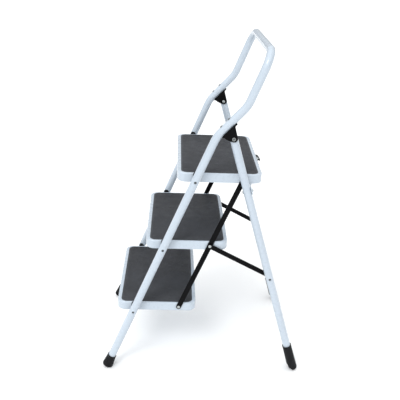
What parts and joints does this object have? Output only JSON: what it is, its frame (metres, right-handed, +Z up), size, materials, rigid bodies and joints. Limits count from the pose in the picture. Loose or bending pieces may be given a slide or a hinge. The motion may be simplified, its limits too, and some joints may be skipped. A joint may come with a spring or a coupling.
{
  "type": "folding step stool",
  "caption": "Folding household steps on a white tubular frame with a raised hand rail, black ribbed treads, side links and rubber feet.",
  "frame": {"origin": "on the floor, midway between the four feet", "axes": "+Z up, +X to the right of a user facing the treads, +Y away from that user; the steps are symmetric in X"},
  "size_m": [0.48, 0.6734, 1.097],
  "materials": {
    "painted_frame": "gloss powder coat",
    "black_steel": "satin black coat",
    "mat_rubber": "matt ribbed",
    "foot_rubber": "matt",
    "black_plastic": "fine grain",
    "zinc": "dull zinc"
  },
  "bodies": {
    "front_frame": {"front_hoop": "painted_frame", "foot_front_right": "foot_rubber", "foot_front_left": "foot_rubber", "hinge_bracket_right": "black_steel", "hinge_bracket_left": "black_steel", "hinge_rivet_right": "black_steel", "hinge_rivet_left": "black_steel", "bracket_rivet_right_lower": "zinc", "bracket_rivet_right_upper": "zinc", "bracket_rivet_left_lower": "zinc", "bracket_rivet_left_upper": "zinc", "tread_rivet_lower_right": "zinc", "tread_rivet_lower_left": "zinc", "tread_rivet_middle_right": "zinc", "tread_rivet_middle_left": "zinc", "tread_rivet_upper_right": "zinc", "tread_rivet_upper_left": "zinc", "tread_spacer_lower_right": "black_plastic", "tread_spacer_lower_left": "black_plastic", "tread_spacer_middle_right": "black_plastic", "tread_spacer_middle_left": "black_plastic", "tread_spacer_upper_right": "black_plastic", "tread_spacer_upper_left": "black_plastic"},
    "rear_frame": {"rear_leg_right": "painted_frame", "rear_leg_left": "painted_frame", "foot_rear_right": "foot_rubber", "foot_rear_left": "foot_rubber", "crossbar_upper": "painted_frame", "crossbar_lower": "painted_frame", "crossbar_bolt_right": "zinc", "crossbar_bolt_left": "zinc", "brace_rivet_right": "zinc", "brace_rivet_left": "zinc"},
    "lower_step": {"tray_lower": "painted_frame", "mat_lower": "mat_rubber", "link_rivet_lower_right": "zinc", "link_rivet_lower_left": "zinc"},
    "middle_step": {"tray_middle": "painted_frame", "mat_middle": "mat_rubber", "link_rivet_middle_right": "zinc", "link_rivet_middle_left": "zinc"},
    "upper_step": {"tray_upper": "painted_frame", "mat_upper": "mat_rubber", "link_rivet_upper_right": "zinc", "link_rivet_upper_left": "zinc", "latch_bracket": "black_steel", "latch_pin": "zinc"},
    "side_link_right": {"link_right": "black_steel"},
    "rear_brace_right": {"brace_right": "black_steel", "brace_head_right": "zinc"},
    "side_link_left": {"link_left": "black_steel"},
    "rear_brace_left": {"brace_left": "black_steel", "brace_head_left": "zinc"},
    "latch": {"latch_lever": "black_plastic"}
  },
  "joints": [
    {"name": "frame_fold", "type": "hinge", "parent": "front_frame", "child": "rear_frame", "pos_m": [0, 0.06037, 0.83452], "axis": [-1, 0, 0], "range_deg": [0, 39.3]},
    {"name": "lower_step_fold", "type": "hinge", "parent": "front_frame", "child": "lower_step", "pos_m": [0, -0.23275, 0.2269], "axis": [1, 0, 0], "range_deg": [0, 59.6]},
    {"name": "middle_step_fold", "type": "hinge", "parent": "front_frame", "child": "middle_step", "pos_m": [0, -0.13951, 0.46], "axis": [1, 0, 0], "range_deg": [0, 59.6]},
    {"name": "upper_step_fold", "type": "hinge", "parent": "front_frame", "child": "upper_step", "pos_m": [0, -0.04628, 0.6931], "axis": [1, 0, 0], "range_deg": [0, 59.6]},
    {"name": "link_right_turn", "type": "hinge", "parent": "middle_step", "child": "side_link_right", "pos_m": [0.203, 0.01019, 0.4659], "axis": [-1, 0, 0], "range_deg": [0, 59.6]},
    {"name": "link_left_turn", "type": "hinge", "parent": "middle_step", "child": "side_link_left", "pos_m": [-0.203, 0.01019, 0.4659], "axis": [-1, 0, 0], "range_deg": [0, 59.6]},
    {"name": "brace_right_turn", "type": "hinge", "parent": "rear_frame", "child": "rear_brace_right", "pos_m": [0.2065, 0.20892, 0.36339], "axis": [-1, 0, 0], "range_deg": [0, 37.7]},
    {"name": "brace_left_turn", "type": "hinge", "parent": "rear_frame", "child": "rear_brace_left", "pos_m": [-0.2065, 0.20892, 0.36339], "axis": [-1, 0, 0], "range_deg": [0, 37.7]},
    {"name": "latch_turn", "type": "hinge", "parent": "upper_step", "child": "latch", "pos_m": [0, 0.16656, 0.7], "axis": [1, 0, 0], "range_deg": [0, 30], "stiffness_Nm_per_rad": 0.08, "springref_deg": -22.92}
  ],
  "couplings": [
    {"joint": "lower_step_fold", "follows": "frame_fold", "ratio": 1.514},
    {"joint": "middle_step_fold", "follows": "frame_fold", "ratio": 1.514},
    {"joint": "upper_step_fold", "follows": "frame_fold", "ratio": 1.514},
    {"joint": "link_right_turn", "follows": "frame_fold", "ratio": 1.514},
    {"joint": "link_left_turn", "follows": "frame_fold", "ratio": 1.514},
    {"joint": "brace_right_turn", "follows": "frame_fold", "ratio": 0.95573},
    {"joint": "brace_left_turn", "follows": "frame_fold", "ratio": 0.95573}
  ]
}
